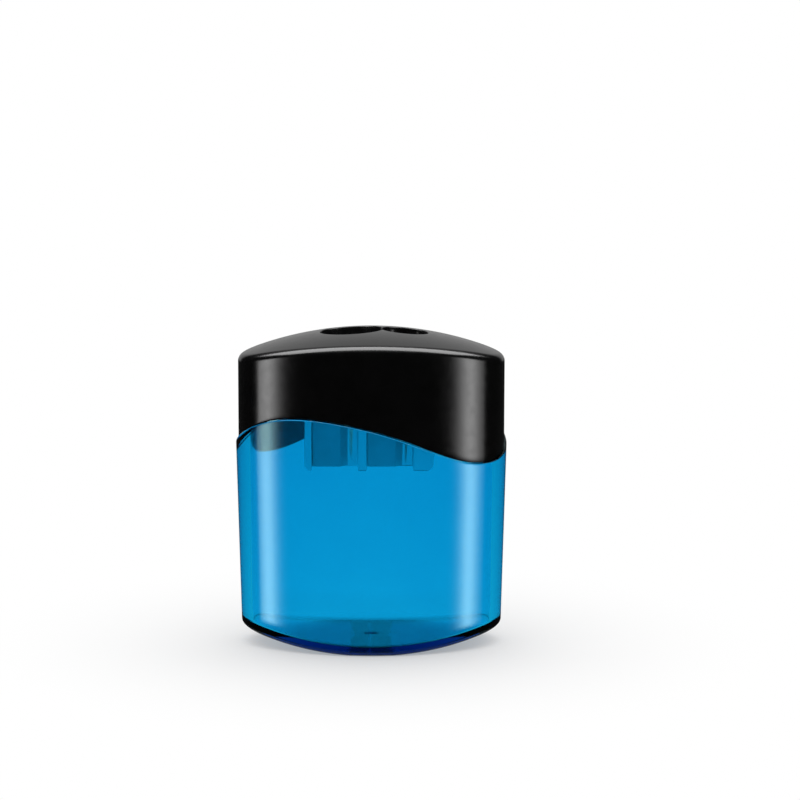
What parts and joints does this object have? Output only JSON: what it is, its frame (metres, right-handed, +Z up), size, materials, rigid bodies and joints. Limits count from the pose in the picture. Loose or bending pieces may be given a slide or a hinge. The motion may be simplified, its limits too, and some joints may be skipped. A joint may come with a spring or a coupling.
{
  "type": "two-hole tub pencil sharpener",
  "caption": "Oval tub pencil sharpener: translucent tub for shavings, glossy domed lid with a wavy lower edge, and a metal block with bladed bores for thick and thin pencils.",
  "frame": {"origin": "middle of the underside, on the surface that the tub stands on", "axes": "+Z up along the pencil bores, -Y the front that the blades face, +X the right-hand end seen from the front"},
  "size_m": [0.0588, 0.0366, 0.0689],
  "materials": {
    "tub_blue_plastic": "translucent blue, polished",
    "lid_black_plastic": "black, polished",
    "block_cast_metal": "die-cast light metal, satin",
    "blade_steel": "ground tool steel",
    "screw_steel": "plated steel"
  },
  "bodies": {
    "tub_body": {"tub": "tub_blue_plastic"},
    "lid_body": {"lid": "lid_black_plastic", "sharpener_body": "block_cast_metal", "large_blade": "blade_steel", "small_blade": "blade_steel", "large_blade_screw": "screw_steel", "small_blade_screw": "screw_steel"}
  },
  "joints": [
    {"name": "lid_lift", "type": "slide", "parent": "tub_body", "child": "lid_body", "axis": [0, 0, 1], "range_m": [0, 0.045]}
  ]
}
